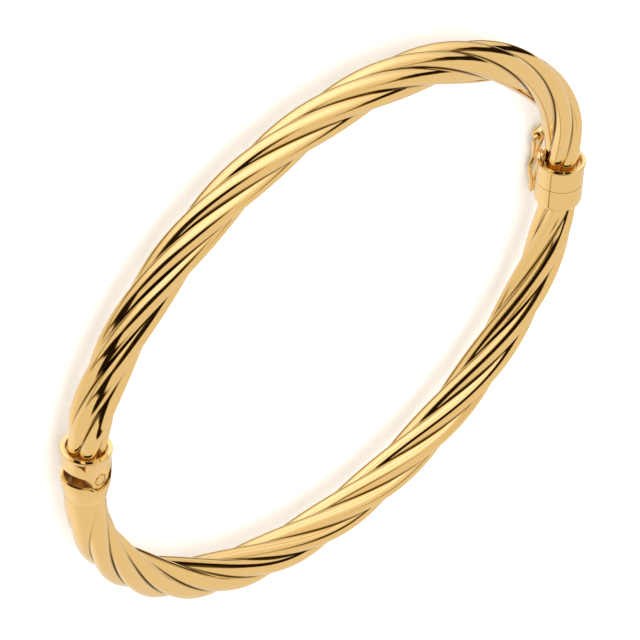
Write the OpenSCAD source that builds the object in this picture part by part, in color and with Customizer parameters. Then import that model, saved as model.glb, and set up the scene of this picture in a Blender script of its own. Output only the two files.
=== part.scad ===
// Hinged oval bangle of twisted, lobed gold tube, lying on its side.
// The hinge is at -X, the clasp at +X, the wrist passes along Z. All sizes are millimetres.
// Two half tubes end in round collars. A hinge pin joins one pair of collars, a folded spring
// tongue enters the other pair, and a figure-of-eight wire catch guards the clasp.

/* [Bangle] */
// Length of the oval from hinge to clasp, along the middle of the tube
oval_l = 63.2; // [58:0.2:74]
// Width of the oval, along the middle of the tube
oval_w = 53.9; // [48:0.1:64]
// How much further than the front half the back half stands out
back_bow = 0.7; // [0:0.05:1]

/* [Twisted tube] */
// Number of lobes round the tube
lobes = 5; // [5:1:7]
// Distance from the middle of the tube to the middle of a lobe
lobe_c = 1.22; // [1.1:0.02:1.3]
// Radius of one lobe
lobe_r = 0.86; // [0.8:0.02:0.94]
// Length of tube in which the lobes go once round
twist_pitch = 40.5; // [30:0.5:60]
// Angle of a groove at the middle of the front half, from outside towards the top
front_groove = 42.4; // [0:0.2:72]
// Angle of a groove at the middle of the back half, from outside towards the top
back_groove = 55; // [0:0.2:72]

/* [Tube ends] */
// Length over which the front half narrows into the hinge cup
front_hinge_run = 4; // [2:0.5:8]
// Length over which the front half narrows into the clasp cup
front_clasp_run = 7; // [3:0.5:10]
// Length over which the lobes of the back half grow out of the hinge collar
back_hinge_run = 10; // [5:0.5:14]
// Length over which the back half narrows into the clasp collar
back_clasp_run = 5; // [3:0.5:8]
// Share of the lobe depth that is left where the front half meets the hinge cup
front_hinge_depth = 0.6; // [0.4:0.05:1]
// Share of the lobe depth that is left where the front half meets the clasp cup
front_clasp_depth = 0.4; // [0.2:0.05:1]
// Share of the lobe depth that is left where the back half meets the clasp collar
back_clasp_depth = 0.5; // [0.2:0.05:1]
// Room between the tube and the wall of the hinge cup
hinge_cup_room = 0.2; // [0.16:0.02:0.5]
// Room between the tube and the wall of the clasp cup
clasp_cup_room = 0.36; // [0.34:0.02:0.5]
// Step in radius from a collar down to the tube of the back half
tube_step = 0.05; // [0.02:0.01:0.12]
// How far the front half bulges out at its shoulder by the clasp
clasp_shoulder = 0.45; // [0:0.05:0.6]

/* [Collars] */
// Outer radius of all four collars
collar_r = 2.36; // [2.3:0.01:2.6]
// How far the rolled rims stand out from the collars
rim_lip = 0.1; // [0.04:0.01:0.12]
// Height of a rolled rim
rim_h = 0.32; // [0.2:0.02:0.36]
// Gap between facing collars
joint_gap = 0.04; // [0.03:0.01:0.1]

/* [Hinge] */
// Wall of the hinge cup and of the hinge collar
hinge_wall = 0.34; // [0.26:0.01:0.4]
// Top of the hinge cup's rim, from the joint
hinge_cup_top = 3.3; // [3.1:0.05:3.8]
// Depth of the hinge cup round the end of the tube
hinge_cup_depth = 0.5; // [0.45:0.05:0.9]
// Thickness of the floor of the hinge cup
hinge_floor = 0.35; // [0.3:0.05:0.5]
// Height of the open gap on the outer side that lets the hinge turn
hinge_open_gap = 1.25; // [1.1:0.05:1.4]
// How much higher that gap is at the outer side than at the ears
hinge_gap_rise = 0.3; // [0:0.05:0.4]
// Height of the slit in the wall beside each ear, below the rolled rim
slit_h = 0.75; // [0.4:0.05:0.9]
// How far the slit stays in from the outer side of the cup
slit_in = 0.12; // [0.08:0.02:0.3]
// Length of the hinge collar of the back half
hinge_collar_l = 2.4; // [2.2:0.1:3]
// Radius at the narrow end of the hinge collar of the back half
hinge_collar_end_r = 2.02; // [1.9:0.01:2.15]
// Depth of the hollow in the hinge collar of the back half
hinge_hollow = 1.35; // [1.2:0.05:1.6]
// Pin position inwards from the middle of the collar
pin_x = -0.05; // [-0.2:0.05:0.2]
// Pin position above the joint
pin_y = 0.55; // [0.5:0.05:0.7]
// Radius of the hinge pin
pin_r = 0.36; // [0.3:0.02:0.42]
// Radius of the pin's heads
pin_head_r = 0.54; // [0.48:0.02:0.6]
// Thickness of the pin's heads
pin_head_h = 0.22; // [0.15:0.01:0.3]
// How far the pin's heads stand out of the ears
pin_head_out = 0.06; // [0.03:0.01:0.1]
// Running gap round the pin
pin_gap = 0.04; // [0.03:0.01:0.08]
// Ring of room round the pin's heads
pin_head_gap = 0.1; // [0.06:0.01:0.16]
// Radius of the round ears at the pin
ear_r = 1; // [0.9:0.02:1.1]
// How far the ears' flat faces lie below the round of the cup
ear_flat = 0.36; // [0.26:0.02:0.46]
// How far the ears stay in from the outer side of the cup
ear_outer_in = 0.76; // [0.7:0.02:0.86]
// How far the ears stay in from the inner side of the cup
ear_inner_in = 0.66; // [0.56:0.02:0.86]
// Thickness of the lug between the ears
lug_t = 1.6; // [1.2:0.1:1.8]
// Radius of the lug's round end
lug_r = 0.95; // [0.85:0.01:1]
// Gap between the lug, the ears and the notches round them
hinge_gap = 0.07; // [0.05:0.01:0.1]

/* [Clasp] */
// Top of the clasp cup's rim, from the joint
clasp_cup_top = 2.5; // [2.4:0.05:3]
// Wall of the clasp cup
clasp_wall = 0.26; // [0.22:0.01:0.28]
// Depth of the clasp cup round the end of the tube
clasp_cup_depth = 0.5; // [0.4:0.05:0.6]
// Thickness of the floor of the clasp cup
clasp_floor = 0.3; // [0.25:0.05:0.4]
// Length of the clasp collar of the back half
clasp_collar_l = 2.6; // [2.5:0.1:3]
// Radius of the rounded end of that collar
clasp_round = 0.55; // [0.4:0.05:0.7]
// Direction in which the thumb press stands off, from the inside towards the underside
press_angle = 40; // [35:1:45]
// Width of the tongue and its thumb press
tongue_w = 0.9; // [0.7:0.05:0.95]
// Thickness of the folded tongue's leaves
leaf_t = 0.26; // [0.2:0.02:0.3]
// Thickness of the thumb press
press_t = 0.17; // [0.14:0.01:0.18]
// Gap between the thumb press and the wall of the cup
press_gap = 0.04; // [0.03:0.01:0.05]
// How far the thumb press stands out of the cup
press_out = 0.9; // [0.5:0.05:1]
// Gap between the end of the folded tongue and the floor of the cup
tongue_end_gap = 0.15; // [0.1:0.01:0.25]

/* [Safety catch] */
// Direction of the catch from the middle of the tube, from the inside towards the underside
catch_angle = 75; // [70:1:80]
// Distance of the catch's bail from the joint
bail_y = 4.7; // [4.6:0.1:5]
// How far the bail's axis stands off the round of the collars
bail_off = 0.19; // [0.16:0.01:0.24]
// Outer radius of the bail
bail_r = 0.6; // [0.56:0.01:0.62]
// Length of the bail
bail_l = 1.2; // [1:0.05:1.3]
// Radius of the catch's wire
wire_r = 0.23; // [0.2:0.01:0.24]
// Room for the wire in the bail
bail_room = 0.12; // [0.08:0.01:0.14]
// Half width of the catch's upper loop, at the middle of its wire
upper_loop = 1.35; // [1.2:0.01:1.45]
// Half width of the catch's lower loop, at the middle of its wire
lower_loop = 1.12; // [1:0.01:1.2]
// Half width of the catch's waist and of its nose, at the middle of its wire
waist = 0.3; // [0.27:0.01:0.34]
// Height of the waist above the joint
waist_y = 1.8; // [1.7:0.1:2.1]
// Distance of the neck between the lower loop and the nose from the joint
neck_y = 1.6; // [1.5:0.05:1.7]
// Distance of the end of the nose from the joint
nose_y = 2.7; // [2.5:0.1:2.9]
// How far the wire rises to pass over the rolled rim
catch_lift = 0.32; // [0.28:0.01:0.4]
// Distance of the peg from the joint
peg_y = 0.75; // [0.6:0.05:0.9]
// Radius of the peg's ball, which is sunk halfway into the collar
peg_ball_r = 0.2; // [0.16:0.01:0.22]
// Radius of the peg's stem
peg_stem_r = 0.14; // [0.1:0.01:0.16]
// Depth of the drilled seat for the stem in the collar
peg_seat = 0.6; // [0.4:0.05:0.8]
// Gap round the peg in its seat
peg_gap = 0.03; // [0.02:0.01:0.05]

/* [Hidden] */
gold = "#efc878";
pale_gold = "#f5d48a";
// Facets of round surfaces, which stay true curves
round_fn = 64;
// Steps along a half tube and across one lobe
tube_steps = 72;
lobe_steps = 7;
// Sides of the catch's wire, steps in one of its bends, and its longest straight step
wire_sides = 8;
bend_steps = 6;
wire_step = 0.35;
// Overshoot of cuts that pass through a face
over = 1;
// Turn of the oval over which the shoulder by the clasp bulges
shoulder_turn = 60;
// Share of its rounding that the clasp collar keeps over the tube's end
round_share = 0.8;
// Bend radii of the catch as shares of its half widths, down from the bail
upper_bend = 0.3;
waist_bend = 0.4;
lower_bend = 0.75;
nose_bend = 0.95;
// Gap in the folded tongue as a share of its leaves' thickness
fold_share = 1.5;

half_l = oval_l / 2;
front_w = (oval_w - back_bow) / 2;
back_w = (oval_w + back_bow) / 2;
crest_r = lobe_c + lobe_r;
lip_r = collar_r + rim_lip;
hinge_in_r = collar_r - hinge_wall;
clasp_in_r = collar_r - clasp_wall;
hinge_seat = hinge_cup_top - hinge_cup_depth;
clasp_seat = clasp_cup_top - clasp_cup_depth;
hinge_floor_y = hinge_seat - hinge_floor;
clasp_floor_y = clasp_seat - clasp_floor;
clasp_end_r = collar_r - clasp_round * round_share;
ear_face = collar_r - ear_flat;
ear_outer_w = collar_r - ear_outer_in;
ear_inner_w = collar_r - ear_inner_in;
ear_in = lug_t / 2 + hinge_gap;
pin_seat = ear_face + pin_head_out - pin_head_h;
bail_out = collar_r + bail_off;
bail_bore = wire_r + bail_room;
slit_top = hinge_cup_top - rim_h;
flat_top = pin_y + ear_r;
// Depth of the cup's wall that the ears leave out, so that the faces stay apart
wall_share = hinge_wall / 4;

function smooth(x) = let (t = min(max(x, 0), 1)) t * t * (3 - 2 * t);
function mix(a, b, t) = a + (b - a) * t;
function unit(v) = v / norm(v);
function reversed(list) = [for (i = [len(list) - 1:-1:0]) list[i]];

// Half tube: from the clasp seat to the hinge seat. side is 1 for the front and -1 for the back.
// An end is [distance of its seat from the joint, radius of its crests, share of lobe depth, run].
function bow(side) = side > 0 ? front_w : back_w;
// Share of the seat's distance that is still left, and its slope
function seat_left(t) = pow(1 - sin(t), 3);
function half_y(t, side, seats) = bow(side) * sin(t) + seats[t < 90 ? 0 : 1] * seat_left(t);
function half_outward(t, side, seats) =
    let (dy = cos(t) * (bow(side) - 3 * seats[t < 90 ? 0 : 1] * pow(1 - sin(t), 2)))
    unit([dy, side * half_l * sin(t), 0]);
// Bulge at the clasp end of a half, highest a third of the way along the stretch that has it
function shoulder(t) = let (u = min(t / shoulder_turn, 1)) 27 / 4 * u * pow(1 - u, 2);
function half_point(t, side, seats) =
    [half_l * cos(t), side * half_y(t, side, seats), 0]
    + (side > 0 ? clasp_shoulder * shoulder(t) : 0) * half_outward(t, side, seats);
// Distance run along the half tube to each step
function half_runs(side, seats) =
    let (dt = 180 / tube_steps)
    [for (i = 0, s = 0; i <= tube_steps;
        s = s + norm(half_point((i + 1) * dt, side, seats) - half_point(i * dt, side, seats)),
        i = i + 1) s];
// Edge of the lobed section at an angle from the middle of a lobe
function lobe_edge(a) = lobe_c * cos(a) + sqrt(max(0, pow(lobe_r, 2) - pow(lobe_c * sin(a), 2)));

function half_section(t, s, total, side, ends, groove) =
    let (
        seats = [ends[0][0], ends[1][0]],
        grow = [smooth(s / ends[0][3]), smooth((total - s) / ends[1][3])],
        end = s < total / 2 ? 0 : 1,
        size = mix(ends[end][1] / crest_r, 1, grow[end]),
        depth = mix(ends[end][2], 1, grow[end]),
        turn = groove - side * 360 / twist_pitch * (s - total / 2),
        centre = half_point(t, side, seats),
        outward = half_outward(t, side, seats)
    )
    [for (k = [0:lobes * lobe_steps - 1])
        let (
            a = turn + 360 * k / (lobes * lobe_steps),
            from_lobe = 360 / lobes * ((k % lobe_steps) / lobe_steps - 0.5),
            r = size * mix(crest_r, lobe_edge(from_lobe), depth)
        )
        centre + r * (cos(a) * outward + sin(a) * [0, 0, 1])];

module half_tube(side, ends, groove) {
    seats = [ends[0][0], ends[1][0]];
    runs = half_runs(side, seats);
    total = runs[tube_steps];
    count = lobes * lobe_steps;
    points = [for (i = [0:tube_steps])
        each half_section(180 * i / tube_steps, runs[i], total, side, ends, groove)];
    skin = [for (i = [0:tube_steps - 1], k = [0:count - 1])
        let (a = i * count + k, b = i * count + (k + 1) % count)
        each [[a, b, b + count], [a, b + count, a + count]]];
    caps = [[for (k = [count - 1:-1:0]) k], [for (k = [0:count - 1]) tube_steps * count + k]];
    faces = concat(skin, caps);
    translate([0, 0, mid_z])
        polyhedron(points, side > 0 ? faces : [for (f = faces) reversed(f)], convexity = 8);
}

// Stands a turned profile, drawn as [radius, height], on the joint with its axis along Y
module turned(x) {
    translate([x, 0, mid_z]) rotate([-90, 0, 0]) rotate_extrude($fn = round_fn) children();
}

// Turns what is drawn as [out, along Y] and raised across, towards an angle under the inside
module towards(x, angle) {
    translate([x, 0, mid_z]) rotate([0, -angle, 0]) mirror([1, 0, 0]) children();
}

// Rolled rim of a cup as a half round bead
module rim_bead(top, inner) {
    translate([collar_r - (collar_r - inner) / 2, top - rim_h / 2])
        intersection() {
            square([collar_r - inner + 2 * rim_lip, rim_h], center = true);
            circle(r = (collar_r - inner) / 2 + rim_lip, $fn = round_fn);
        }
}

// Outline of an ear or lug across the pin, [x, y] from the middle of the joint
module ear_outline() {
    translate([pin_x, pin_y]) circle(r = ear_r, $fn = round_fn);
    polygon([
        [pin_x - ear_r, pin_y],
        [-ear_outer_w, hinge_open_gap],
        [-ear_outer_w, hinge_seat - hinge_floor / 2],
        [ear_inner_w, hinge_seat - hinge_floor / 2],
        [pin_x + ear_r, pin_y]
    ]);
}

// Raises an outline through both sides of the cup, clear of the lug in its middle
module both_sides(height) {
    for (z = [ear_in, -ear_in - height])
        translate([-half_l, 0, mid_z + z]) linear_extrude(height) children();
}

// The two ears thicken the cup's wall inwards as far as the lug
module ears() {
    intersection() {
        both_sides(collar_r - ear_in) ear_outline();
        turned(-half_l) translate([0, -over]) square([collar_r - wall_share, hinge_cup_top]);
    }
}

// Thin wall of the hinge cup, cut away below and between the ears, and slit beside them
module hinge_cup_wall() {
    difference() {
        turned(-half_l) {
            polygon([[0, hinge_floor_y], [hinge_in_r, hinge_floor_y], [hinge_in_r, joint_gap],
                [collar_r, joint_gap], [collar_r, hinge_cup_top - rim_h / 2],
                [hinge_in_r, hinge_cup_top - rim_h / 2], [hinge_in_r, hinge_seat], [0, hinge_seat]]);
            rim_bead(hinge_cup_top, hinge_in_r);
        }
        translate([-half_l, 0, mid_z - lip_r - over]) linear_extrude(2 * (lip_r + over))
            polygon([[-over, -over], [-over, hinge_open_gap], [-ear_outer_w, hinge_open_gap],
                [-collar_r, hinge_open_gap + hinge_gap_rise],
                [-lip_r - over, hinge_open_gap + hinge_gap_rise], [-lip_r - over, -over]]);
        both_sides(lip_r) difference() {
            translate([-ear_outer_w, -over]) square([ear_outer_w + ear_inner_w, over + hinge_floor_y]);
            ear_outline();
        }
        intersection() {
            both_sides(lip_r)
                polygon([[-ear_outer_w, slit_top], [slit_in - collar_r, slit_top],
                    [-ear_outer_w, slit_top - slit_h]]);
            turned(-half_l) translate([hinge_in_r - wall_share, 0]) square([lip_r, hinge_cup_top]);
        }
    }
}

// What is cut off the cup's round so that it runs down to the ears' flat faces
module ear_flats() {
    for (side = [0, 1])
        translate([-half_l - ear_outer_w, 0, mid_z]) mirror([0, 0, side])
            rotate([90, 0, 90]) linear_extrude(ear_outer_w + ear_inner_w)
                polygon([[-over, ear_face], [flat_top, ear_face], [slit_top, collar_r],
                    [slit_top, lip_r + over], [-over, lip_r + over]]);
}

module hinge_cup_front() {
    color(gold) difference() {
        union() {
            hinge_cup_wall();
            ears();
        }
        ear_flats();
        translate([-half_l + pin_x, pin_y, mid_z - lip_r])
            cylinder(h = 2 * lip_r, r = pin_r + pin_gap, $fn = round_fn);
        for (z = [pin_seat, -pin_seat - over])
            translate([-half_l + pin_x, pin_y, mid_z + z])
                cylinder(h = over, r = pin_head_r + pin_head_gap, $fn = round_fn);
    }
}

module hinge_collar_back() {
    shoulder_y = -hinge_hollow / 2;
    color(gold) difference() {
        union() {
            difference() {
                turned(-half_l)
                    polygon([[0, -hinge_collar_l], [hinge_collar_end_r, -hinge_collar_l],
                        [collar_r, shoulder_y], [collar_r, 0], [hinge_in_r, 0],
                        [hinge_in_r, -hinge_hollow], [0, -hinge_hollow]]);
                translate([-half_l + pin_x, pin_y, mid_z - lip_r])
                    cylinder(h = 2 * lip_r, r = ear_r + hinge_gap, $fn = round_fn);
            }
            translate([-half_l, 0, mid_z - lug_t / 2]) linear_extrude(lug_t) {
                translate([pin_x, pin_y]) circle(r = lug_r, $fn = round_fn);
                translate([pin_x - lug_r, -hinge_hollow]) square([2 * lug_r, pin_y + hinge_hollow]);
            }
        }
        translate([-half_l + pin_x, pin_y, mid_z - lip_r])
            cylinder(h = 2 * lip_r, r = pin_r + pin_gap, $fn = round_fn);
    }
}

module hinge_pin() {
    color(pale_gold) translate([-half_l + pin_x, pin_y, mid_z])
        rotate_extrude($fn = round_fn)
            polygon([[0, -pin_seat - pin_head_h], [pin_head_r, -pin_seat - pin_head_h],
                [pin_head_r, -pin_seat], [pin_r, -pin_seat], [pin_r, pin_seat],
                [pin_head_r, pin_seat], [pin_head_r, pin_seat + pin_head_h],
                [0, pin_seat + pin_head_h]]);
}

// Cup of the clasp, with a floor that carries the tube and a slot that lets the press through
module clasp_cup_front() {
    slot_room = 2 * press_gap;
    slot_in = clasp_in_r - slot_room - 2 * press_t;
    color(gold) difference() {
        turned(half_l) {
            polygon([[0, clasp_floor_y], [clasp_in_r, clasp_floor_y], [clasp_in_r, joint_gap],
                [collar_r, joint_gap], [collar_r, clasp_cup_top - rim_h / 2],
                [clasp_in_r, clasp_cup_top - rim_h / 2], [clasp_in_r, clasp_seat],
                [0, clasp_seat]]);
            rim_bead(clasp_cup_top, clasp_in_r);
        }
        intersection() {
            towards(half_l, press_angle)
                translate([slot_in, clasp_floor_y - over, -tongue_w / 2 - slot_room])
                    cube([collar_r, 2 * over + clasp_floor, tongue_w + 2 * slot_room]);
            turned(half_l) square([clasp_in_r, clasp_seat + over]);
        }
    }
}

module clasp_collar_back() {
    color(gold) difference() {
        turned(half_l) {
            translate([0, -clasp_collar_l + clasp_round])
                square([collar_r, clasp_collar_l - clasp_round]);
            translate([0, -clasp_collar_l]) square([collar_r - clasp_round, clasp_collar_l]);
            translate([collar_r - clasp_round, -clasp_collar_l + clasp_round])
                circle(r = clasp_round, $fn = round_fn);
        }
        towards(half_l, catch_angle) translate([collar_r, -peg_y, 0]) {
            translate([-peg_seat, 0, 0]) rotate([0, 90, 0])
                cylinder(h = peg_seat + over, r = peg_stem_r + peg_gap, $fn = round_fn);
            sphere(r = peg_ball_r + peg_gap, $fn = round_fn);
        }
    }
}

// A strip folded back on itself, whose end turns up along the cup's wall as a thumb press
module clasp_tongue() {
    fold_y = clasp_floor_y - tongue_end_gap;
    press_r = sqrt(pow(clasp_in_r - press_gap, 2) - pow(tongue_w / 2, 2));
    fold_gap = leaf_t * fold_share;
    leaf_y = joint_gap * 2;
    color(pale_gold) towards(half_l, press_angle)
        translate([0, 0, -tongue_w / 2]) linear_extrude(tongue_w)
            polygon([
                [-leaf_t, 0], [-leaf_t, fold_y],
                [fold_gap + leaf_t, fold_y], [fold_gap + leaf_t, leaf_t + leaf_y],
                [press_r - press_t, leaf_t + leaf_y],
                [press_r - press_t, clasp_cup_top + press_out],
                [press_r, clasp_cup_top + press_out], [press_r, leaf_y],
                [fold_gap, leaf_y], [fold_gap, fold_y - leaf_t],
                [0, fold_y - leaf_t], [0, 0]
            ]);
}

module catch_bail() {
    color(gold) towards(half_l, catch_angle)
        translate([bail_out, bail_y, 0]) difference() {
            cylinder(h = bail_l, r = bail_r, center = true, $fn = round_fn);
            cylinder(h = bail_l + over, r = bail_bore, center = true, $fn = round_fn);
        }
}

module catch_peg() {
    color(pale_gold) towards(half_l, catch_angle)
        translate([collar_r, -peg_y, 0]) rotate([0, 90, 0]) {
            translate([0, 0, -peg_seat]) cylinder(h = peg_seat, r = peg_stem_r, $fn = round_fn);
            sphere(r = peg_ball_r, $fn = round_fn);
        }
}

// Points that round the corner c between p and q
function bend(p, c, q, r) =
    let (
        to_p = unit(p - c),
        to_q = unit(q - c),
        half_a = acos(to_p * to_q) / 2,
        middle = c + unit(to_p + to_q) * r / sin(half_a),
        first = c + to_p * r / tan(half_a) - middle,
        turn = (180 - 2 * half_a) * sign(cross(c - p, q - c)),
        start_a = atan2(first[1], first[0])
    )
    [for (i = [0:bend_steps])
        let (a = start_a + turn * i / bend_steps) middle + r * [cos(a), sin(a)]];

// Corners of the figure of eight as [across, along Y, bend radius], down its left side
function catch_side() = [
    [-upper_loop, bail_y, upper_loop * upper_bend],
    [-waist, waist_y, upper_loop * waist_bend],
    [-lower_loop, waist_y / 2, lower_loop * lower_bend],
    [-waist, -neck_y, lower_loop * waist_bend],
    [-waist, -nose_y, waist * nose_bend]
];
function mirrored(list) = [for (p = reversed(list)) [-p[0], p[1], p[2]]];
// Height of the wire's middle over the joint's axis, along the catch
function catch_height(y) =
    bail_out + catch_lift * smooth((bail_y - y) / (bail_y - waist_y));
function catch_path() =
    let (
        corners = concat(catch_side(), mirrored(catch_side())),
        n = len(corners),
        flat = [for (i = [0:n - 1])
            let (
                p = corners[(i + n - 1) % n],
                c = corners[i],
                q = corners[(i + 1) % n]
            )
            each bend([p[0], p[1]], [c[0], c[1]], [q[0], q[1]], c[2])],
        m = len(flat)
    )
    [for (i = [0:m - 1])
        let (
            a = flat[i],
            b = flat[(i + 1) % m],
            steps = max(1, ceil(norm(b - a) / wire_step))
        )
        for (k = [0:steps - 1])
            let (p = mix(a, b, k / steps)) [catch_height(p[1]), p[1], p[0]]];

// Underside of the catch below the middle of the tube, which the bangle rests on
function catch_drop() = max([for (p = catch_path())
    p[0] * sin(catch_angle) + abs(p[2]) * cos(catch_angle) + wire_r]);
// Underside of the bail below the middle of the tube
bail_drop = (bail_out + bail_r) * sin(catch_angle) + bail_l / 2 * cos(catch_angle);
mid_z = max(lip_r, bail_drop, catch_drop());

module safety_catch() {
    path = catch_path();
    n = len(path);
    points = [for (i = [0:n - 1])
        let (
            along = unit(path[(i + 1) % n] - path[(i + n - 1) % n]),
            across = unit(cross(along, [1, 0, 0])),
            up = cross(across, along)
        )
        for (k = [0:wire_sides - 1])
            let (a = 360 * k / wire_sides)
            path[i] + wire_r * (cos(a) * across + sin(a) * up)];
    faces = [for (i = [0:n - 1], k = [0:wire_sides - 1])
        let (
            a = i * wire_sides + k,
            b = i * wire_sides + (k + 1) % wire_sides,
            c = (i + 1) % n * wire_sides + (k + 1) % wire_sides,
            d = (i + 1) % n * wire_sides + k
        )
        each [[a, c, b], [a, d, c]]];
    color(pale_gold) towards(half_l, catch_angle) polyhedron(points, faces, convexity = 8);
}

module tube_front() {
    color(gold) half_tube(1, [
        [clasp_seat, clasp_in_r - clasp_cup_room, front_clasp_depth, front_clasp_run],
        [hinge_seat, hinge_in_r - hinge_cup_room, front_hinge_depth, front_hinge_run]
    ], front_groove);
}

module tube_back() {
    color(gold) half_tube(-1, [
        [clasp_collar_l, clasp_end_r - tube_step, back_clasp_depth, back_clasp_run],
        [hinge_collar_l, hinge_collar_end_r - tube_step, 0, back_hinge_run]
    ], back_groove);
}

tube_front();
tube_back();
hinge_cup_front();
hinge_collar_back();
hinge_pin();
clasp_cup_front();
clasp_collar_back();
clasp_tongue();
catch_bail();
catch_peg();
safety_catch();
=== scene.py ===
"""Looks of a hinged oval bangle of twisted gold tube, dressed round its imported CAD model.

The bangle lies on its side: the wrist passes along Z, the hinge is at -X and the clasp at +X.
Sizes in the classes are millimetres, angles are degrees, and meshes are written in metres.
"""

import logging
import math
from dataclasses import dataclass
from enum import Enum
from typing import Any

import bmesh
import bpy
import numpy as np
from mathutils import Matrix, Vector


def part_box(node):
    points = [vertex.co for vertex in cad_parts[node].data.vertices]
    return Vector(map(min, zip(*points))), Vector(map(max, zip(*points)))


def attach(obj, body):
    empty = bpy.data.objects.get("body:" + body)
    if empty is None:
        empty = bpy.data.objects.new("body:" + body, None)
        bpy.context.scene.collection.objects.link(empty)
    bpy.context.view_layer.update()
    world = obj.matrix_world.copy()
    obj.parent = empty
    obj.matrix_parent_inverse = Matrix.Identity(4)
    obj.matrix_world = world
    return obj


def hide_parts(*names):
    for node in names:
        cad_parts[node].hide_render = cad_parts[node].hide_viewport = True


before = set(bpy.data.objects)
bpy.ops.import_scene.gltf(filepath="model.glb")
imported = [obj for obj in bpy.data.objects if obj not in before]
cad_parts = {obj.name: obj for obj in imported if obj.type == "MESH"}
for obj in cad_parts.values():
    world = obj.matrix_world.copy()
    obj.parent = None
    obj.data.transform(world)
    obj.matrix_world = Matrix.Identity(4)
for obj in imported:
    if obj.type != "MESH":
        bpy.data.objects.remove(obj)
LOG = logging.getLogger("bangle")
MM = 0.001
# Mesh attribute that is one in the bottom of a groove and nothing on a lobe: the mask of painted
# shade
GROOVE = "groove"
# Shader node that does sums, and the numbers of a colour mix node's sockets
MATH = "ShaderNodeMath"
MIX_SHARE, MIX_FIRST, MIX_SECOND, MIX_RESULT = 0, 6, 7, 2
Array = np.ndarray


class Body(Enum):
    """Parts of the bangle that move as one."""

    FRONT = "front_half"
    BACK = "back_half"
    CATCH = "catch"


class Slot(Enum):
    """Material slots of the record."""

    TUBE = "polished_tube"
    COLLAR = "collar_gold"
    PIN = "pin_gold"
    WIRE = "wire_gold"
    SPRING = "spring_gold"


class Lines(Enum):
    """Where the buffing lines of a gold finish run."""

    ALONG_TUBE = "the piece's own UV map, along the tube"
    ALL_ROUND = "no direction, as from a soft mop"


def linear(hex_code: str) -> tuple[float, float, float, float]:
    """Turns an sRGB hex colour into linear red, green and blue.

    The curve of sRGB is a straight line up to 0.04045 and a power of 2.4 above it.

    Args:
        hex_code: Colour as "#rrggbb".

    Returns:
        Linear colour with an alpha of one.
    """
    shares = [int(hex_code[i:i + 2], 16) / 255 for i in (1, 3, 5)]
    red, green, blue = (
        s / 12.92 if s <= 0.04045 else ((s + 0.055) / 1.055) ** 2.4 for s in shares)
    return red, green, blue, 1.0


def add_node(tree: bpy.types.NodeTree, kind: str, inputs: dict[str | int, Any] | None = None,
             **settings: Any) -> bpy.types.Node:
    """Adds one shader node with its settings, values and links.

    Args:
        tree: Node tree that gets the node.
        kind: Blender's name of the node type.
        inputs: Socket name or number, with a value, with the output socket to link, or with the
            node whose first output is linked.
        **settings: Properties of the node itself.

    Returns:
        The new node.
    """
    node = tree.nodes.new(kind)
    for name, value in settings.items():
        setattr(node, name, value)
    for name, value in (inputs or {}).items():
        source = value.outputs[0] if isinstance(value, bpy.types.Node) else value
        if isinstance(source, bpy.types.NodeSocket):
            tree.links.new(source, node.inputs[name])
        else:
            node.inputs[name].default_value = source
    return node


def bare_material(name: str) -> bpy.types.Material:
    """Makes a material whose node tree is still empty.

    Args:
        name: What the material is and how its surface was made.

    Returns:
        The new material.
    """
    found = bpy.data.materials.new(name)
    found.use_nodes = True
    found.node_tree.nodes.clear()
    return found


def smooth(x: Array) -> Array:
    """Smooth step of x: three x squared less two x cubed, held between 0 and 1."""
    t = np.clip(x, 0, 1)
    return t * t * (3 - 2 * t)


def mix(a: Array | float, b: Array | float, t: Array | float) -> Array:
    """Straight mix from a to b by the share t."""
    return a + (b - a) * t


def unit(v: Array) -> Array:
    """Vectors of the last axis brought to length one."""
    return v / np.linalg.norm(v, axis=-1, keepdims=True)


def run_along(points: Array) -> Array:
    """Distances along a line of points from its start: the sum of the steps so far."""
    return np.concatenate([[0], np.cumsum(np.linalg.norm(np.diff(points, axis=0), axis=1))])


def grid_faces(rows: int, columns: int, closed: bool) -> Array:
    """Quads of a grid whose columns run round and whose rows run along.

    Corner k of row i has the number i times columns plus k, and the last column joins the first.

    Args:
        rows: Number of rows of points.
        columns: Number of points in a row.
        closed: Whether the last row joins the first.

    Returns:
        Whole-number array with four corners a row.
    """
    i, k = np.meshgrid(np.arange(rows if closed else rows - 1), np.arange(columns), indexing="ij")
    below, beside = (i + 1) % rows, (k + 1) % columns
    corners = [i * columns + k, i * columns + beside, below * columns + beside, below * columns + k]
    return np.stack([c.ravel() for c in corners], axis=1)


def faces_outwards(points: Array, faces: Array) -> bool:
    """Tells whether the faces of a closed surface point outwards.

    The volume is the sum over the faces of the triple products of their corners: it is negative
    where the faces point inwards. An open end adds nothing to it if it is level with the origin.

    Args:
        points: Corner points, one a row, with the origin level with the open ends, if any.
        faces: Quads or triangles of the surface.

    Returns:
        Whether the volume is positive.
    """
    corners = points[faces]
    volume = 0.0
    for j in range(1, faces.shape[1] - 1):
        normals = np.cross(corners[:, j], corners[:, j + 1])
        volume += np.einsum("ij,ij->", corners[:, 0], normals)
    return bool(volume > 0)


def make_mesh(name: str, points: Array, faces: list[list[int]],
              material: bpy.types.Material) -> bpy.types.Mesh:
    """Makes a smooth mesh of one finish.

    Args:
        name: Name of the mesh.
        points: Corner points in millimetres.
        faces: Corners of each face.
        material: Finish of the whole mesh.

    Returns:
        The new mesh, in metres.
    """
    mesh = bpy.data.meshes.new(name)
    mesh.from_pydata((points * MM).tolist(), [], faces)
    mesh.materials.append(material)
    mesh.shade_smooth()
    mesh.validate()
    return mesh


def put(name: str, data: bpy.types.ID) -> bpy.types.Object:
    """Makes an object of a mesh or camera, at the origin, and puts it in the scene.

    Args:
        name: Name of the object.
        data: Its mesh or camera.

    Returns:
        The new object.
    """
    thing = bpy.data.objects.new(name, data)
    bpy.context.scene.collection.objects.link(thing)
    return thing


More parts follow.
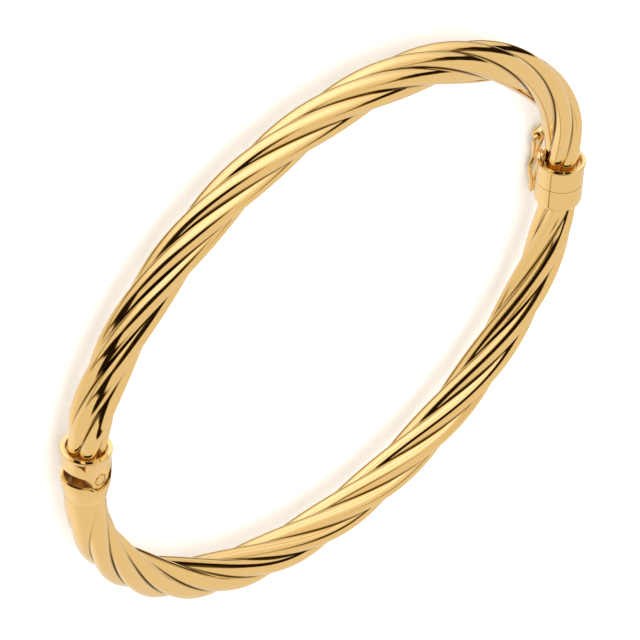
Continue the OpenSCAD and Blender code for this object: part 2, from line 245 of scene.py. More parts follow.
def stand_in(piece: bpy.types.Object, body: Body, node: str) -> bpy.types.Object:
    """Lets a piece stand for a CAD node and ride on its body.

    Args:
        piece: The finished piece.
        body: Body that the piece moves with.
        node: CAD node that it stands for.

    Returns:
        The same piece.
    """
    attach(piece, body.value)
    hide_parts(node)
    return piece


@dataclass(frozen=True)
class GoldFinish:
    """Yellow gold of low fineness, drawn or stamped and then buffed to a gloss.

    The eye sees a mirror a little softened by buffing, whose reflections waver over the ripples
    that forming leaves, a duller gloss where the buff can't reach, and painted shade in the grooves.
    """

    name: str
    colour: str = "#ffd58b"
    warm_colour: str = "#ffd286"
    roughness: float = 0.05
    rough_spread: float = 0.03
    # Patches of colour and gloss: their width, and the noise from which and to which gloss changes
    patch_mm: float = 3.0
    patch_low: float = 0.3
    patch_high: float = 0.7
    ripple_mm: float = 2.4
    ripple_height_mm: float = 0.004
    # Buffing lines. Real ones are under 0.03 mm wide and would not show, so they are drawn wider.
    lines: Lines = Lines.ALL_ROUND
    line_mm: float = 0.16
    line_height_mm: float = 0.0006
    line_stretch: float = 40.0
    # Grooves between the lobes, where the mesh has them: painted shade and a duller gloss
    grooved: bool = False
    groove_shade_colour: str = "#6f5022"
    groove_dulling: float = 0.1
    # Inside the collars' walls the buff doesn't reach: the distance from the collars' own axes
    # within which the gold stays satin (0 for none), how satin, and where the axes lie
    satin_within: float = 0.0
    satin: float = 0.34
    axis_x: float = 0.0
    axis_z: float = 0.0

    def inside_collar(self, tree: bpy.types.NodeTree, place: bpy.types.Node) -> bpy.types.Node:
        """Adds the nodes that tell the inside of a collar from its outside.

        The collars' axes run along Y at plus and minus axis_x, at the height axis_z.

        Args:
            tree: Node tree of the finish.
            place: Texture coordinates of the piece.

        Returns:
            Node whose result is one inside and nothing outside.
        """
        spot = add_node(tree, "ShaderNodeSeparateXYZ", {"Vector": place.outputs["Object"]})
        side = add_node(tree, MATH, {0: spot.outputs["X"]}, operation="ABSOLUTE")
        level = add_node(tree, "ShaderNodeCombineXYZ", {"X": side, "Z": spot.outputs["Z"]})
        axis = (self.axis_x * MM, 0.0, self.axis_z * MM)
        apart = add_node(tree, "ShaderNodeVectorMath", {0: level, 1: axis}, operation="DISTANCE")
        return add_node(tree, MATH, {0: apart.outputs["Value"], 1: self.satin_within * MM},
                        operation="LESS_THAN")

    def relief(self, tree: bpy.types.NodeTree, place: bpy.types.Node) -> bpy.types.Node:
        """Adds the ripples that forming leaves, with the finer lines of the buff on them.

        Args:
            tree: Node tree of the finish.
            place: Texture coordinates of the piece.

        Returns:
            Node whose result is the normal of both.
        """
        ripple = add_node(tree, "ShaderNodeTexNoise", {
            "Vector": place.outputs["Object"], "Scale": 1 / (self.ripple_mm * MM),
            "Detail": 0.0})
        wave = add_node(tree, "ShaderNodeBump", {
            "Height": ripple.outputs["Fac"], "Strength": 1.0,
            "Distance": self.ripple_height_mm * MM})
        if self.lines is Lines.ALONG_TUBE:
            # The UV map is in millimetres, with the tube's length as its first axis
            vector = add_node(tree, "ShaderNodeMapping", {
                "Vector": place.outputs["UV"],
                "Scale": (1 / (self.line_stretch * self.line_mm), 1 / self.line_mm, 1.0)})
            scale = 1.0
        else:
            vector = place.outputs["Object"]
            scale = 1 / (self.line_mm * MM)
        line = add_node(tree, "ShaderNodeTexNoise", {
            "Vector": vector, "Scale": scale, "Detail": 3.0, "Roughness": 0.6})
        return add_node(tree, "ShaderNodeBump", {
            "Height": line.outputs["Fac"], "Strength": 1.0,
            "Distance": self.line_height_mm * MM, "Normal": wave})

    def material(self) -> bpy.types.Material:
        """Builds the node material of the finish.

        Returns:
            The material, with its patterns scaled from their real sizes.
        """
        found = bare_material(self.name)
        tree = found.node_tree
        place = add_node(tree, "ShaderNodeTexCoord")
        patches = add_node(tree, "ShaderNodeTexNoise", {
            "Vector": place.outputs["Object"], "Scale": 1 / (self.patch_mm * MM),
            "Detail": 2.0, "Roughness": 0.5})
        tone = add_node(tree, "ShaderNodeMix", {
            MIX_SHARE: patches.outputs["Fac"], MIX_FIRST: linear(self.colour),
            MIX_SECOND: linear(self.warm_colour)}, data_type="RGBA")
        colour = tone.outputs[MIX_RESULT]
        rough = add_node(tree, "ShaderNodeMapRange", {
            "Value": patches.outputs["Fac"],
            "From Min": self.patch_low, "From Max": self.patch_high,
            "To Min": self.roughness - self.rough_spread / 2,
            "To Max": self.roughness + self.rough_spread / 2})
        if self.grooved:
            # Painted shade: the grooves get a dark colour for the shade in the creases, and a duller
            # gloss
            groove = add_node(tree, "ShaderNodeAttribute", attribute_name=GROOVE)
            deep = add_node(tree, "ShaderNodeMix", {
                MIX_SHARE: groove.outputs["Fac"], MIX_FIRST: colour,
                MIX_SECOND: linear(self.groove_shade_colour)}, data_type="RGBA")
            colour = deep.outputs[MIX_RESULT]
            rough = add_node(tree, MATH, {
                0: groove.outputs["Fac"], 1: self.groove_dulling, 2: rough},
                operation="MULTIPLY_ADD")
        if self.satin_within:
            inside = self.inside_collar(tree, place)
            rough = add_node(tree, MATH, {0: inside, 1: self.satin, 2: rough},
                             operation="MULTIPLY_ADD")
        shader = add_node(tree, "ShaderNodeBsdfPrincipled", {
            "Base Color": colour, "Metallic": 1.0, "Roughness": rough,
            "Normal": self.relief(tree, place)})
        add_node(tree, "ShaderNodeOutputMaterial", {"Surface": shader})
        return found


@dataclass(frozen=True)
class PaperFinish:
    """Matt white backdrop paper, whose faint grain hardly shows."""

    name: str = "Matt white backdrop paper"
    colour: str = "#fbfbfa"
    roughness: float = 0.9
    grain_mm: float = 0.8
    grain_height_mm: float = 0.02
    grain_share: float = 0.2

    def material(self) -> bpy.types.Material:
        """Builds the node material of the paper.

        Returns:
            The material.
        """
        found = bare_material(self.name)
        tree = found.node_tree
        place = add_node(tree, "ShaderNodeTexCoord")
        grain = add_node(tree, "ShaderNodeTexNoise", {
            "Vector": place.outputs["Object"], "Scale": 1 / (self.grain_mm * MM)})
        relief = add_node(tree, "ShaderNodeBump", {
            "Height": grain.outputs["Fac"], "Strength": self.grain_share,
            "Distance": self.grain_height_mm * MM})
        shader = add_node(tree, "ShaderNodeBsdfPrincipled", {
            "Base Color": linear(self.colour), "Roughness": self.roughness, "Normal": relief})
        add_node(tree, "ShaderNodeOutputMaterial", {"Surface": shader})
        return found


@dataclass(frozen=True)
class TubeEnd:
    """Where and how a half tube ends in its collar.

    The seat is how far the end stands from the joint, crest the radius of the lobes there, depth
    the share of the grooves that is left, and run the length over which the end reaches full size.
    """

    seat: float
    crest: float
    depth: float
    run: float


@dataclass(frozen=True)
class Oval:
    """The oval that both half tubes follow, which is not quite even.

    The back half stands out further than the front half by back_bow, and the front half bulges
    at a shoulder by the clasp, over the first shoulder_turn degrees of the oval.
    """

    length: float = 63.2
    width: float = 53.9
    back_bow: float = 0.7
    shoulder: float = 0.45
    shoulder_turn: float = 60.0

    @property
    def half_l(self) -> float:
        """Half the length, which is how far the joints stand from the middle."""
        return self.length / 2

    @property
    def mid_z(self) -> float:
        """Height of the oval's middle plane, which is that of the clasp's collar."""
        low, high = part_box("clasp_collar_back")
        return (low[2] + high[2]) / 2 / MM

    def middle_line(self, t: Array, side: int, seats: tuple[float, float]) -> tuple[Array, Array]:
        """Works out the middle line of a half tube from the clasp to the hinge.

        It is half an oval whose ends stand off the joint by the seats: a seat's share falls off
        with the third power of one less the sine. The shoulder is the product u (1 - u) squared,
        where u is the share of its turn, over the 4/27 that this product reaches at most.

        Args:
            t: Angles round the oval, in radians, with 0 at the clasp.
            side: 1 for the front half and -1 for the back half.
            seats: Distances of the tube's ends from the joint, at the clasp and at the hinge.

        Returns:
            Points of the line and the directions that point outwards from it.
        """
        bow = (self.width - side * self.back_bow) / 2
        seat = np.where(t < np.pi / 2, seats[0], seats[1])
        left = 1 - np.sin(t)
        zero = np.zeros_like(t)
        line = np.stack([self.half_l * np.cos(t),
                         side * (bow * np.sin(t) + seat * left ** 3), zero], axis=1)
        out = unit(np.stack([np.cos(t) * (bow - 3 * seat * left ** 2),
                             side * self.half_l * np.sin(t), zero], axis=1))
        u = np.minimum(t / math.radians(self.shoulder_turn), 1)
        bulge = self.shoulder * 27 / 4 * u * (1 - u) ** 2 if side > 0 else zero
        return line + bulge[:, None] * out, out


@dataclass
class TwistedTube:
    """One half of the bangle: a thin gold tube with five twisted lobes.

    The lobes make a full turn a pitch, right-handed. One groove stands groove_turn degrees up
    from straight outwards at the middle of the tube's run.
    """

    oval: Oval
    name: str
    node: str
    body: Body
    side: int
    clasp_end: TubeEnd
    hinge_end: TubeEnd
    groove_turn: float
    lobes: int = 5
    lobe_c: float = 1.22
    lobe_r: float = 0.86
    pitch: float = 40.5
    # Width over which the bottom of a groove is rounded
    groove_round: float = 0.03
    # From 0 on a crest to 1 in a groove: where the groove's painted shade starts, and its way to
    # full
    colour_from: float = 0.87
    colour_grow: float = 0.1
    sharp_angle: float = 70.0
    rows: int = 470
    lobe_columns: int = 40

    @property
    def columns(self) -> int:
        """Number of points round the tube."""
        return self.lobes * self.lobe_columns

    @property
    def crest_r(self) -> float:
        """Radius of the tube at the crests of its lobes."""
        return self.lobe_c + self.lobe_r

    def edge(self, angle: Array) -> Array:
        """Edge of the lobed section at angles from the middle of a lobe.

        A lobe is a circle of radius lobe_r round a point lobe_c from the tube's middle: its edge
        is lobe_c times the cosine plus the root of lobe_r squared less lobe_c times the sine
        squared. Two neighbours meet in a groove, rounded by a soft maximum of both edges.

        Args:
            angle: Angles from the middle of a lobe, in radians, up to half a lobe.

        Returns:
            Distances from the middle of the tube.
        """
        def circle(a: Array) -> Array:
            """Edge of one lobe alone."""
            side = self.lobe_c * np.sin(a)
            return self.lobe_c * np.cos(a) + np.sqrt(np.maximum(self.lobe_r ** 2 - side ** 2, 0))

        near = circle(angle)
        far = circle(2 * np.pi / self.lobes - np.abs(angle))
        soft = self.groove_round
        return np.maximum(near, far) + soft * np.log1p(np.exp(-np.abs(near - far) / soft))

    def swell(self, run: Array) -> tuple[Array, Array]:
        """Works out how the tube grows from its ends, each by a smooth step over the end's run.

        Args:
            run: Distances along the tube, from the clasp to the hinge.

        Returns:
            Share of the full size and share of the grooves' full depth at each distance.
        """
        size = np.ones_like(run)
        depth = np.ones_like(run)
        near_clasp = run < run[-1] / 2
        for end, far, here in ((self.clasp_end, run, near_clasp),
                               (self.hinge_end, run[-1] - run, ~near_clasp)):
            grow = smooth(far / end.run)
            size = np.where(here, mix(end.crest / self.crest_r, 1, grow), size)
            depth = np.where(here, mix(end.depth, 1, grow), depth)
        return size, depth

    def surface(self) -> tuple[Array, Array, Array]:
        """Works out the tube as a grid of run along it and angle round it.

        A section turns by a full turn a pitch, and its radius mixes the round crest with the
        lobed edge by the depth that is left near the ends.

        Returns:
            Points in millimetres, the share of groove at each point, and the run and the length
            round at each point in millimetres.
        """
        t = np.linspace(0, np.pi, self.rows)
        centre, out = self.oval.middle_line(
            t, self.side, (self.clasp_end.seat, self.hinge_end.seat))
        run = run_along(centre)
        size, depth = self.swell(run)
        twist = 2 * np.pi / self.pitch * (run - run[-1] / 2)
        turn = math.radians(self.groove_turn) - self.side * twist
        number = np.arange(self.columns)
        share = number / self.lobe_columns % 1 - 0.5
        angle = turn[:, None] + 2 * np.pi * number / self.columns
        edge = self.edge(2 * np.pi / self.lobes * share)
        radius = size[:, None] * mix(self.crest_r, edge, depth[:, None])
        up = np.array([0.0, 0.0, 1.0])
        spoke = np.cos(angle)[..., None] * out[:, None] + np.sin(angle)[..., None] * up
        points = centre[:, None] + radius[..., None] * spoke + self.oval.mid_z * up
        deep = depth[:, None] * smooth((np.abs(share) * 2 - self.colour_from) / self.colour_grow)
        flat = np.stack(np.broadcast_arrays(run[:, None], angle * self.crest_r), axis=-1)
        return points.reshape(-1, 3), deep.ravel(), flat.reshape(-1, 2)

    def build(self, material: bpy.types.Material) -> bpy.types.Object:
        """Makes the tube's mesh, closes its ends and gives it its painted groove shade and line
        patterns.

        Args:
            material: Finish of the tube.

        Returns:
            The new piece, which stands for its CAD node.
        """
        points, deep, flat = self.surface()
        skin = grid_faces(self.rows, self.columns, closed=False)
        start = np.arange(self.columns)
        stop = start + (self.rows - 1) * self.columns
        ends = np.stack([stop, start[::-1]])
        between_ends = (points[start].mean(axis=0) + points[stop].mean(axis=0)) / 2
        if not faces_outwards(points - between_ends, skin):
            skin, ends = skin[:, ::-1], ends[:, ::-1]
        mesh = make_mesh(self.name, points, skin.tolist() + ends.tolist(), material)
        groove = mesh.attributes.new(GROOVE, "FLOAT", "POINT")
        groove.data.foreach_set("value", deep.astype(np.float32))
        corners = np.zeros(len(mesh.loops), np.int32)
        mesh.loops.foreach_get("vertex_index", corners)
        # The last column's corners take the angle of one whole turn more, so the map has no seam
        place = flat[corners]
        quads = place[:skin.size].reshape(-1, skin.shape[1], 2)
        way_round = 2 * np.pi * self.crest_r
        behind = quads[..., 1].max(axis=1, keepdims=True) - quads[..., 1] > way_round / 2
        quads[..., 1] += behind * way_round
        layer = mesh.uv_layers.new(name="UVMap")
        layer.data.foreach_set("uv", place.astype(np.float32).ravel())
        mesh.set_sharp_from_angle(angle=math.radians(self.sharp_angle))
        return stand_in(put(self.name, mesh), self.body, self.node)


@dataclass
class SafetyCatch:
    """Figure-of-eight wire catch that swings on the bail and snaps over the peg.

    Its own frame starts at the clasp's joint, on the collars' axis: out points to the bail, hang
    degrees below the way to the bangle's middle, Y runs along the axis, and across is square to
    both.
    """

    oval: Oval
    wire_r: float = 0.23
    hang: float = 75.0
    bail_y: float = 4.7
    bail_out: float = 2.55
    upper_loop: float = 1.35
    lower_loop: float = 1.12
    waist: float = 0.3
    waist_y: float = 1.8
    neck_y: float = 1.6
    nose_y: float = 2.7
    lift: float = 0.32
    # Bend radii, as shares of the half width of the loop or of the waist that they round
    top_bend: float = 0.3
    waist_bend: float = 0.4
    side_bend: float = 0.75
    nose_bend: float = 0.95
    bend_steps: int = 18
    step: float = 0.07
    sides: int = 28

    def corners(self) -> Array:
        """Lists the corners of the figure of eight, all the way round.

        Returns:
            Place across, place along Y and bend radius of each corner, one corner a row.
        """
        left = np.array([
            [-self.upper_loop, self.bail_y, self.upper_loop * self.top_bend],
            [-self.waist, self.waist_y, self.upper_loop * self.waist_bend],
            [-self.lower_loop, self.waist_y / 2, self.lower_loop * self.side_bend],
            [-self.waist, -self.neck_y, self.lower_loop * self.waist_bend],
            [-self.waist, -self.nose_y, self.waist * self.nose_bend]])
        return np.concatenate([left, left[::-1] * [-1, 1, 1]])

    def bend(self, before: Array, corner: Array, after: Array, radius: float) -> Array:
        """Rounds one corner with an arc that touches both sides.

        The arc's middle lies on the bisector, the radius over the sine of half the angle away.

        Args:
            before: Point before the corner.
            corner: The corner.
            after: Point after the corner.
            radius: Radius of the arc.

        Returns:
            Points of the arc in order.
        """
        to_p, to_q = unit(before - corner), unit(after - corner)
        half = math.acos(float(to_p @ to_q)) / 2
        middle = corner + unit(to_p + to_q) * radius / math.sin(half)
        first = corner + to_p * radius / math.tan(half) - middle
        turned = to_p[1] * to_q[0] - to_p[0] * to_q[1]
        sweep = (math.pi - 2 * half) * math.copysign(1, turned)
        angle = math.atan2(first[1], first[0]) + sweep * np.linspace(0, 1, self.bend_steps)
        return middle + radius * np.stack([np.cos(angle), np.sin(angle)], axis=1)

    def path(self) -> Array:
        """Works out the middle of the wire, evenly spaced and closed.

        Its height over the collars grows by a smooth step from the bail to the waist, so that the
        wire clears the rolled rim.

        Returns:
            Place out, along Y and across of each point, one point a row.
        """
        corners = self.corners()
        count = len(corners)
        flat = np.concatenate([
            self.bend(corners[i - 1, :2], corners[i, :2], corners[(i + 1) % count, :2],
                      corners[i, 2])
            for i in range(count)])
        closed = np.concatenate([flat, flat[:1]])
        run = run_along(closed)
        even = np.linspace(0, run[-1], int(run[-1] / self.step), endpoint=False)
        across = np.interp(even, run, closed[:, 0])
        y = np.interp(even, run, closed[:, 1])
        out = self.bail_out + self.lift * smooth((self.bail_y - y) / (self.bail_y - self.waist_y))
        return np.stack([out, y, across], axis=1)

    def build(self, material: bpy.types.Material) -> bpy.types.Object:
        """Carries a circle along the path and makes it a closed ring of wire.

        Args:
            material: Finish of the wire.

        Returns:
            The new piece, which stands for its CAD node.
        """
        path = self.path()
        along = unit(np.roll(path, -1, axis=0) - np.roll(path, 1, axis=0))
        across = unit(np.cross(along, [1.0, 0.0, 0.0]))
        up = np.cross(across, along)
        a = np.linspace(0, 2 * np.pi, self.sides, endpoint=False)[None, :, None]
        local = path[:, None] + self.wire_r * (
            np.cos(a) * across[:, None] + np.sin(a) * up[:, None])
        hang = math.radians(self.hang)
        out_axis = np.array([-math.cos(hang), 0, -math.sin(hang)])
        y_axis = np.array([0.0, 1.0, 0.0])
        across_axis = np.array([-math.sin(hang), 0, math.cos(hang)])
        points = local.reshape(-1, 3) @ np.stack([out_axis, y_axis, across_axis])
        points = points + np.array([self.oval.half_l, 0, self.oval.mid_z])
        faces = grid_faces(len(path), self.sides, closed=True)
        if not faces_outwards(points, faces):
            faces = faces[:, ::-1]
        mesh = make_mesh("catch_wire", points, faces.tolist(), material)
        return stand_in(put("catch_wire", mesh), Body.CATCH, "safety_catch")


@dataclass
class Fitting:
    """A machined or stamped gold fitting: its CAD shape with its edges broken as by buffing."""

    node: str
    name: str
    body: Body
    slot: Slot
    edge: float = 0.04
    edge_steps: int = 3
    # Angles up to which faces are merged as flat, and from which an edge is broken
    flat_angle: float = 0.5
    edge_angle: float = 30.0
    # Distance within which the CAD mesh's loose corners are one
    weld: float = 0.0005

    def build(self, material: bpy.types.Material) -> bpy.types.Object:
        """Copies the CAD node, merges its points and rounds its edges.

        Args:
            material: Finish of the fitting.

        Returns:
            The new piece, which stands for its CAD node.
        """
        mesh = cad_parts[self.node].data.copy()
        mesh.name = self.name
        mesh.materials.clear()
        mesh.materials.append(material)
        work = bmesh.new()
        work.from_mesh(mesh)
        bmesh.ops.remove_doubles(work, verts=work.verts, dist=self.weld * MM)
        bmesh.ops.dissolve_limit(work, angle_limit=math.radians(self.flat_angle),
                                 verts=work.verts, edges=work.edges)
        work.to_mesh(mesh)
        work.free()
        mesh.shade_smooth()
        piece = put(self.name, mesh)
        bevel = piece.modifiers.new("Broken edges", "BEVEL")
        bevel.width = self.edge * MM
        bevel.segments = self.edge_steps
        bevel.limit_method = "ANGLE"
        bevel.angle_limit = math.radians(self.edge_angle)
        bevel.miter_outer = "MITER_ARC"
        even = piece.modifiers.new("Even shading", "WEIGHTED_NORMAL")
        even.keep_sharp = False
        return stand_in(piece, self.body, self.node)


@dataclass(frozen=True)
class StudioCamera:
    """Long lens that looks down at the lying bangle, rolled as the photograph is.

    Azimuth 0 looks along +Y, and the aim is near the bangle's middle. The clip distances are in
    metres.
    """

    aim: tuple[float, float, float] = (-1.587, 0.964, 3.29)
    distance: float = 473.45
    azimuth: float = 140.57
    elevation: float = 30.78
    roll: float = 125.36
    lens: float = 281.41
    sensor: float = 36.0
    clip_start: float = 0.01
    clip_end: float = 20.0

    def axes(self) -> tuple[Vector, Vector, Vector]:
        """Works out how the camera is turned.

        Returns:
            Directions to the picture's right, to its top and into it.
        """
        a, e = math.radians(self.azimuth), math.radians(self.elevation)
        into = Vector((math.sin(a) * math.cos(e), math.cos(a) * math.cos(e), -math.sin(e)))
        level = into.cross(Vector((0, 0, 1))).normalized()
        raised = level.cross(into)
        turn = math.radians(self.roll)
        right = math.cos(turn) * level + math.sin(turn) * raised
        return right, right.cross(into), into

    def build(self) -> None:
        """Makes the camera from its aim, its distance and its roll."""
        right, up, into = self.axes()
        data = bpy.data.cameras.new("Studio camera")
        data.lens = self.lens
        data.sensor_width = self.sensor
        data.clip_start = self.clip_start
        data.clip_end = self.clip_end
        camera = put("Studio camera", data)
        place = (Vector(self.aim) - into * self.distance) * MM
        turned = Matrix((right, up, -into)).transposed().to_4x4()
        camera.matrix_world = Matrix.Translation(place) @ turned
        bpy.context.scene.camera = camera


@dataclass(frozen=True)
class Glow:
    """A round soft-edged patch of the tent that is lighter or darker than the rest.

    The direction is given as turn and height in the tent's own frame. Within the inner angle the
    patch adds all of its level, and beyond the outer angle nothing.
    """

    turn: float
    height: float
    inner: float
    outer: float
    level: float


@dataclass(frozen=True)
class GapPoint:
    """One point of a dark gap in the tent: its place, half width and how dark it is."""

    turn: float
    height: float
    half: float
    dark: float


@dataclass(frozen=True)
class Tent:
    """White tent round the bangle, as the mirror-bright gold sees it.

    Turn 0 is to the right in the camera's picture, and the height is counted towards the tent's
    crown, which leans from the picture's top towards the camera. Dark gaps run round the tent
    where the cloth ends, with the open side in which the photographer stands.
    """

    lean: float = 53.13
    level: float = 0.8
    gap: tuple[GapPoint, ...] = (
        GapPoint(-180, 5, 4, 0.4), GapPoint(-160, 12, 5, 0.5), GapPoint(-150, 24, 8, 0.9),
        GapPoint(-134, 30, 10, 1), GapPoint(-105, 23, 10, 1), GapPoint(-92, 6, 11, 1),
        GapPoint(-76, -11, 9, 1), GapPoint(-60, -22, 6, 1), GapPoint(-50, -28, 4, 0.4),
        GapPoint(-42, -30, 3, 0), GapPoint(-28, 0, 4, 0), GapPoint(-13, 2, 5, 0.7),
        GapPoint(8, 8, 8, 1), GapPoint(28, 4, 9, 1), GapPoint(47, -8, 8, 1),
        GapPoint(66, -21, 7, 0.9), GapPoint(90, -18, 10, 0.6), GapPoint(107, -3, 12, 0.55),
        GapPoint(137, 0, 12, 0.65), GapPoint(157, 10, 7, 0.5), GapPoint(180, 5, 4, 0.4))
    # A second gap, higher up on the photographer's side
    upper_gap: tuple[GapPoint, ...] = (
        GapPoint(-180, 45, 4, 0), GapPoint(-150, 45, 8, 0), GapPoint(-130, 47, 15, 0.9),
        GapPoint(-110, 47, 18, 1), GapPoint(-90, 47, 17, 1), GapPoint(-70, 47, 16, 1),
        GapPoint(-50, 46, 16, 1), GapPoint(-36, 44, 12, 0.8), GapPoint(-20, 42, 8, 0),
        GapPoint(180, 38, 4, 0))
    # Width over which a gap's edge fades, and the half width that a ramp holds as one
    gap_soft: float = 4.0
    half_scale: float = 20.0
    glows: tuple[Glow, ...] = (
        Glow(90, 68, 20, 75, 0.5), Glow(-60, 60, 10, 45, -0.12), Glow(180, -45, 10, 50, 0.15))
    darkest: float = 0.012
    # How much faster than red the green and the blue fall off in the dark parts
    green_power: float = 1.17
    blue_power: float = 1.65
    # Red, green and blue of the light that reaches the eye by two mirror images, against one
    second_image: tuple[float, float, float] = (0.85, 1.1, 1.7)

    def axes(self, camera: StudioCamera) -> tuple[Vector, Vector, Vector]:
        """Works out how the tent stands.

        Args:
            camera: The camera by whose picture it stands.

        Returns:
            Directions of turn 0, of turn 90 and of the crown.
        """
        right, up, into = camera.axes()
        a = math.radians(self.lean)
        return right, math.sin(a) * up + math.cos(a) * into, math.cos(a) * up - math.sin(a) * into

    def seen(self, tree: bpy.types.NodeTree, camera: StudioCamera) -> bpy.types.Node:
        """Adds the nodes that tell the light from each direction.

        Args:
            tree: Node tree of the world.
            camera: The camera by whose picture the tent stands.

        Returns:
            Node whose result is the light's colour.
        """
        right, ahead, crown = self.axes(camera)
        ray = add_node(tree, "ShaderNodeTexCoord").outputs["Generated"]

        def along(axis: Vector) -> bpy.types.NodeSocket:
            """Share of the ray that runs along an axis."""
            return add_node(tree, "ShaderNodeVectorMath", {0: ray, 1: axis},
                            operation="DOT_PRODUCT").outputs["Value"]

        def fade(angle: bpy.types.Node, start: float, stop: float) -> bpy.types.Node:
            """Smooth fall from one to nothing while an angle grows from start to stop."""
            return add_node(tree, "ShaderNodeMapRange", {
                "Value": angle, "From Min": math.radians(start), "From Max": math.radians(stop),
                "To Min": 1.0, "To Max": 0.0}, interpolation_type="SMOOTHSTEP")

        turn = add_node(tree, MATH, {0: along(ahead), 1: along(right)}, operation="ARCTAN2")
        height = add_node(tree, MATH, {0: along(crown)}, operation="ARCSINE")
        place = add_node(tree, MATH, {0: turn, 1: 0.5 / math.pi, 2: 0.5},
                         operation="MULTIPLY_ADD")

        def darkness(points: tuple[GapPoint, ...]) -> bpy.types.Node:
            """Adds the nodes that tell the share of the light that a gap takes away.

            A ramp over the turn holds the gap's height, half width and darkness as its red, green
            and blue.

            Args:
                points: Points of the gap in the order of their turns.

            Returns:
                Node whose result is the gap's darkness within it and nothing outside it.
            """
            ramp = add_node(tree, "ShaderNodeValToRGB", {"Fac": place})
            stops = ramp.color_ramp.elements
            ready = len(stops)
            for number, point in enumerate(points):
                position = point.turn / 360 + 0.5
                stop = stops[number] if number < ready else stops.new(position)
                stop.position = position
                stop.color = (point.height / 180 + 0.5, point.half / self.half_scale, point.dark, 1)
            held = add_node(tree, "ShaderNodeSeparateColor", {"Color": ramp.outputs["Color"]})
            middle = add_node(tree, MATH, {0: held.outputs["Red"], 1: math.pi, 2: -math.pi / 2},
                              operation="MULTIPLY_ADD")
            half = add_node(tree, MATH, {
                0: held.outputs["Green"], 1: math.radians(self.half_scale)}, operation="MULTIPLY")
            above = add_node(tree, MATH, {0: height, 1: middle}, operation="SUBTRACT")
            apart = add_node(tree, MATH, {0: above}, operation="ABSOLUTE")
            off = add_node(tree, MATH, {0: apart, 1: half}, operation="SUBTRACT")
            return add_node(tree, MATH, {
                0: held.outputs["Blue"], 1: fade(off, -self.gap_soft / 2, self.gap_soft / 2)},
                operation="MULTIPLY")

        level: bpy.types.Node | float = self.level
        for glow in self.glows:
            a, b = math.radians(glow.turn), math.radians(glow.height)
            flat = math.cos(a) * right + math.sin(a) * ahead
            middle = along(math.cos(b) * flat + math.sin(b) * crown)
            apart = add_node(tree, MATH, {0: middle}, operation="ARCCOSINE")
            level = add_node(tree, MATH, {
                0: fade(apart, glow.inner, glow.outer), 1: glow.level, 2: level},
                operation="MULTIPLY_ADD")
        gap = add_node(tree, MATH, {0: darkness(self.gap), 1: darkness(self.upper_gap)},
                       operation="MAXIMUM")
        cloth = add_node(tree, MATH, {0: 1.0, 1: gap}, operation="SUBTRACT")
        lit = add_node(tree, MATH, {0: level, 1: cloth}, operation="MULTIPLY")
        light = add_node(tree, MATH, {0: lit, 1: self.darkest}, operation="MAXIMUM")
        share = add_node(tree, MATH, {0: light, 1: self.level}, operation="DIVIDE")
        colours = [light]
        for power in (self.green_power, self.blue_power):
            fallen = add_node(tree, MATH, {0: share, 1: power}, operation="POWER")
            colours.append(
                add_node(tree, MATH, {0: fallen, 1: self.level}, operation="MULTIPLY"))
        # The glossy depth is one in the first mirror image and two in the second
        depth = add_node(tree, "ShaderNodeLightPath").outputs["Glossy Depth"]
        past_first = add_node(tree, MATH, {0: depth, 1: 1.0}, operation="SUBTRACT", use_clamp=True)
        for number, change in enumerate(self.second_image):
            times = add_node(tree, MATH, {0: past_first, 1: change - 1, 2: 1.0},
                             operation="MULTIPLY_ADD")
            colours[number] = add_node(tree, MATH, {0: colours[number], 1: times},
                                       operation="MULTIPLY")
        return add_node(tree, "ShaderNodeCombineColor", dict(zip(("Red", "Green", "Blue"), colours)))


@dataclass(frozen=True)
class Studio:
    """Plain white floor and soft even light, with the tent that the gold mirrors."""

    camera: StudioCamera = StudioCamera()
    tent: Tent = Tent()
    floor_size: float = 4000.0
    white: str = "#ffffff"
    fill: float = 1.8

    def build_floor(self) -> None:
        """Lays a plain pale floor under the bangle, which the gold doesn't mirror."""
        half = self.floor_size / 2
        corners = np.array([[-half, -half, 0], [half, -half, 0], [half, half, 0], [-half, half, 0]])
        mesh = make_mesh("Floor", corners, [[0, 1, 2, 3]], PaperFinish().material())
        floor = put("Floor", mesh)
        floor.visible_glossy = False

    def build_light(self) -> None:
        """Makes the world plain white for the eye and the floor, and the tent for the gold."""
        world = bpy.data.worlds.new("White tent")
        world.use_nodes = True
        tree = world.node_tree
        tree.nodes.clear()
        plain = add_node(tree, "ShaderNodeBackground", {
            "Color": linear(self.white), "Strength": self.fill})
        mirrored = add_node(tree, "ShaderNodeBackground", {
            "Color": self.tent.seen(tree, self.camera), "Strength": 1.0})
        path = add_node(tree, "ShaderNodeLightPath")
        both = add_node(tree, "ShaderNodeMixShader", {
            0: path.outputs["Is Glossy Ray"], 1: plain, 2: mirrored})
        add_node(tree, "ShaderNodeOutputWorld", {"Surface": both})
        bpy.context.scene.world = world

    def build(self) -> None:
        """Sets up camera, floor, light and tone."""
        self.camera.build()
        self.build_floor()
        self.build_light()
        bpy.context.scene.view_settings.view_transform = "Standard"


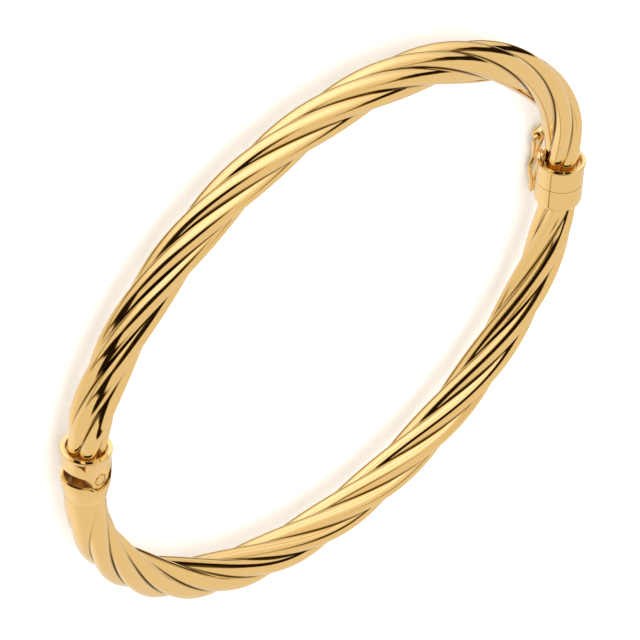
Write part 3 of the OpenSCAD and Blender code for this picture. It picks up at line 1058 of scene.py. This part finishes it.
@dataclass(frozen=True)
class Bangle:
    """The whole bangle: two twisted half tubes, their collars, the hinge, clasp and catch."""

    oval: Oval = Oval()
    # Radius of the room inside the collars' walls, which the buff doesn't reach
    collar_room: float = 2.12

    def tubes(self) -> list[TwistedTube]:
        """The two half tubes, front and back."""
        return [
            TwistedTube(self.oval, "front_twist", "tube_front", Body.FRONT, 1,
                        clasp_end=TubeEnd(seat=2.0, crest=1.74, depth=0.4, run=7.0),
                        hinge_end=TubeEnd(seat=2.8, crest=1.82, depth=0.6, run=4.0),
                        groove_turn=42.4),
            TwistedTube(self.oval, "back_twist", "tube_back", Body.BACK, -1,
                        clasp_end=TubeEnd(seat=2.6, crest=1.87, depth=0.5, run=5.0),
                        hinge_end=TubeEnd(seat=2.4, crest=1.97, depth=0.0, run=10.0),
                        groove_turn=55.0)]

    def fittings(self) -> list[Fitting]:
        """The collars and small fittings whose CAD shape stays."""
        return [
            Fitting("hinge_cup_front", "hinge_cup", Body.FRONT, Slot.COLLAR),
            Fitting("hinge_collar_back", "hinge_collar", Body.BACK, Slot.COLLAR),
            Fitting("hinge_pin", "pin", Body.FRONT, Slot.PIN, edge=0.1),
            Fitting("clasp_cup_front", "clasp_cup", Body.FRONT, Slot.COLLAR),
            Fitting("clasp_collar_back", "clasp_collar", Body.BACK, Slot.COLLAR),
            Fitting("clasp_tongue", "tongue", Body.BACK, Slot.SPRING),
            Fitting("catch_bail", "bail", Body.FRONT, Slot.COLLAR),
            Fitting("catch_peg", "peg", Body.BACK, Slot.PIN, edge=0.02)]

    def build(self) -> None:
        """Builds and dresses every piece of the bangle."""
        tube_gold = GoldFinish(
            "Buffed yellow gold tube", lines=Lines.ALONG_TUBE, grooved=True).material()
        sheet_gold = GoldFinish(
            "Polished yellow gold sheet", roughness=0.04, ripple_height_mm=0.002,
            satin_within=self.collar_room, axis_x=self.oval.half_l,
            axis_z=self.oval.mid_z).material()
        wire_gold = GoldFinish(
            "Drawn yellow gold wire", roughness=0.07, ripple_height_mm=0.001).material()
        golds = {Slot.COLLAR: sheet_gold, Slot.PIN: wire_gold, Slot.SPRING: wire_gold}
        pieces = [tube.build(tube_gold) for tube in self.tubes()]
        pieces += [fitting.build(golds[fitting.slot]) for fitting in self.fittings()]
        pieces.append(SafetyCatch(self.oval).build(wire_gold))
        for piece in pieces:
            LOG.info("%s: %d faces", piece.name, len(piece.data.polygons))


def main() -> None:
    """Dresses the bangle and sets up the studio."""
    logging.basicConfig(level=logging.INFO, format="%(message)s")
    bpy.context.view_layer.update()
    Bangle().build()
    Studio().build()


if __name__ == "__main__":
    main()
